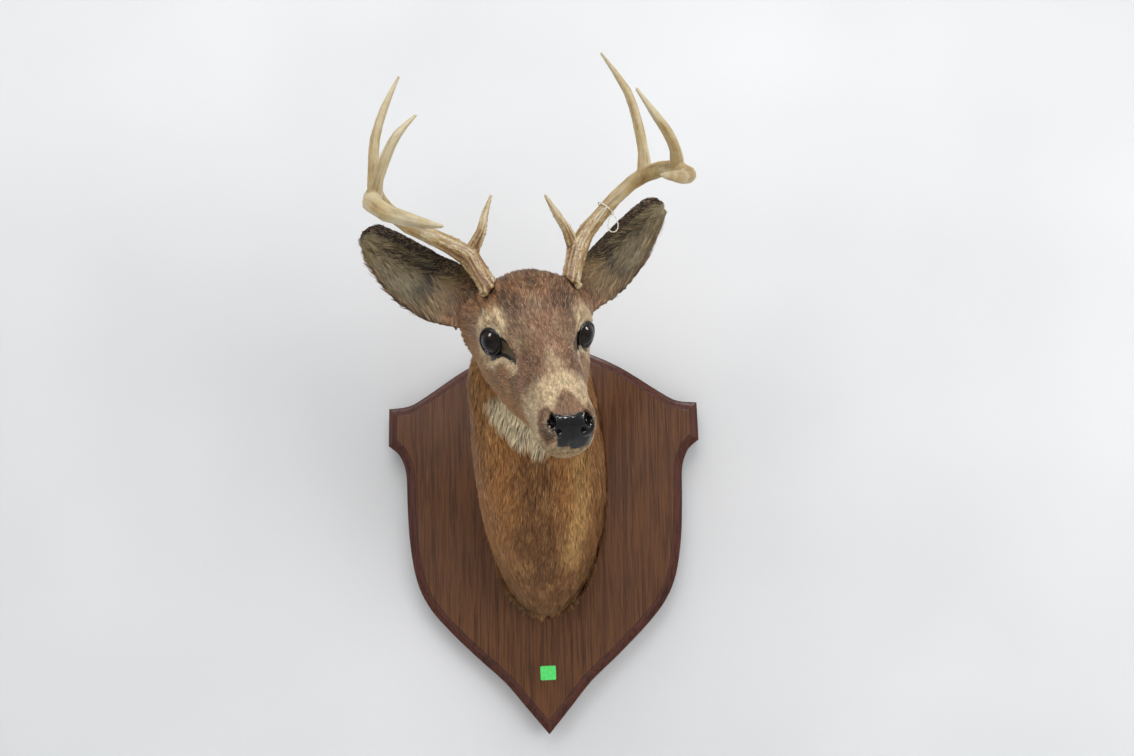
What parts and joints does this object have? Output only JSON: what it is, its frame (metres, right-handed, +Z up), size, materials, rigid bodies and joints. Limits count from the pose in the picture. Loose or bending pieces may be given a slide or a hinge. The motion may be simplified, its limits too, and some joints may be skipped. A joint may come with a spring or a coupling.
{
  "type": "deer shoulder mount",
  "caption": "White-tailed buck's head and neck, turned slightly to one side, mounted on a wooden shield board that hangs on a wall.",
  "frame": {"origin": "on the back face of the board, on its centre line, halfway between its peak and its point", "axes": "+Z up, +Y into the wall, +X to the right of someone facing the mount; the deer looks out along -Y"},
  "size_m": [0.4114, 0.4854, 0.8039],
  "materials": {
    "walnut_board": "satin varnish over dark walnut with a fine upright grain",
    "paper_sticker": "bare bright green paper label",
    "neck_coat": "short dense ginger-brown hair",
    "face_coat": "short brown and grey face hair with pale eye rings and muzzle band",
    "ear_coat": "grey-buff hair with a dark brown rim",
    "nose_skin": "glossy black painted nose skin with pale chips",
    "eye_glass": "polished dark brown-black glass eye",
    "pale_antler": "smooth tan antler bone",
    "stained_antler": "beaded brown-stained antler bone",
    "cotton_string": "thin white cotton string"
  },
  "bodies": {
    "root": {"shield_board": "walnut_board", "lot_sticker": "paper_sticker", "neck": "neck_coat", "head": "face_coat", "nose_pad": "nose_skin", "eye_left": "eye_glass", "ear_left": "ear_coat", "antler_left_base": "stained_antler", "antler_left_brow_tine": "stained_antler", "antler_left_beam": "pale_antler", "antler_left_second_tine": "pale_antler", "antler_left_third_tine": "pale_antler", "antler_left_tip": "pale_antler", "eye_right": "eye_glass", "ear_right": "ear_coat", "antler_right_base": "stained_antler", "antler_right_brow_tine": "stained_antler", "antler_right_beam": "pale_antler", "antler_right_second_tine": "pale_antler", "antler_right_third_tine": "pale_antler", "antler_right_tip": "pale_antler", "tag_string": "cotton_string"}
  },
  "joints": []
}
